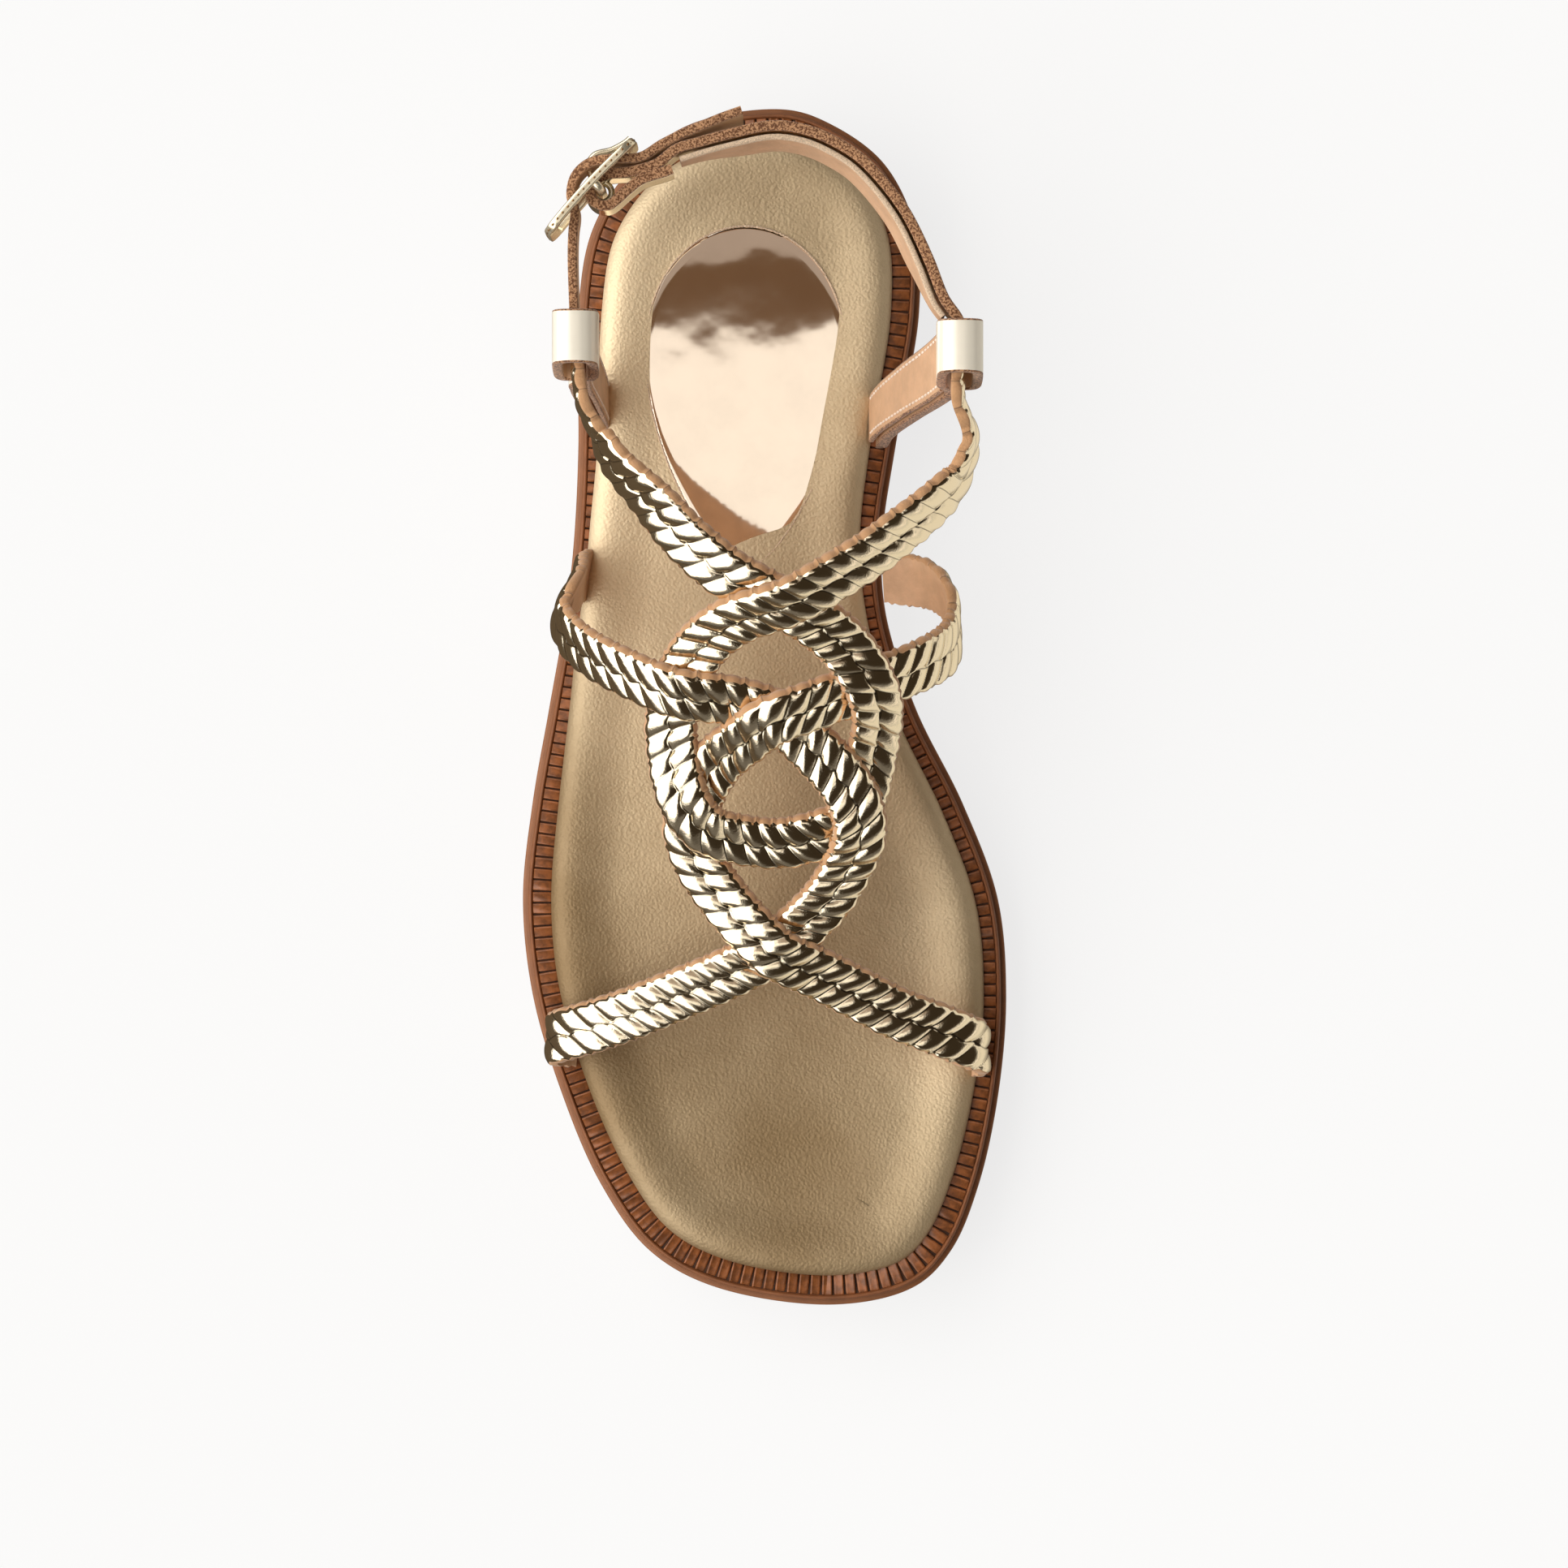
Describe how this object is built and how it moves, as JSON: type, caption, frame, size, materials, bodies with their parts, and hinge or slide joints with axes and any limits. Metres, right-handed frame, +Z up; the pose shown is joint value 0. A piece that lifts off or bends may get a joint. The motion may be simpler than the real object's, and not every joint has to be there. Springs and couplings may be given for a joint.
{
  "type": "buckle sandal",
  "caption": "Flat girl's sandal with interlaced rope-embossed straps, an ankle strap fastened by a side buckle, a padded footbed, and a ribbed welt on a low sole",
  "frame": {"origin": "on the floor, in the middle of the sole's outline", "axes": "+X to the inner side of the right foot, +Y from toe to heel, +Z up"},
  "size_m": [0.088, 0.216, 0.0715],
  "materials": {
    "outsole": "matt brown sole",
    "welt": "brown, stained, ribbed",
    "insole": "champagne metallic grain",
    "patch": "pale rose gold mirror foil",
    "upper": "mirror gold foil, embossed",
    "strap": "pale gold foil with suede edges",
    "lining": "undyed natural lining",
    "buckle": "pale gold plated"
  },
  "bodies": {
    "root": {"outsole": "outsole", "welt": "welt", "insole": "insole", "heel_patch": "patch", "upper": "upper", "quarter_strap_lateral": "strap", "quarter_strap_medial": "strap", "quarter_lining_lateral": "lining", "quarter_lining_medial": "lining", "ankle_strap": "strap", "ankle_lining": "lining", "buckle_strap": "strap", "buckle_frame": "buckle", "buckle_prong": "buckle"}
  },
  "joints": []
}
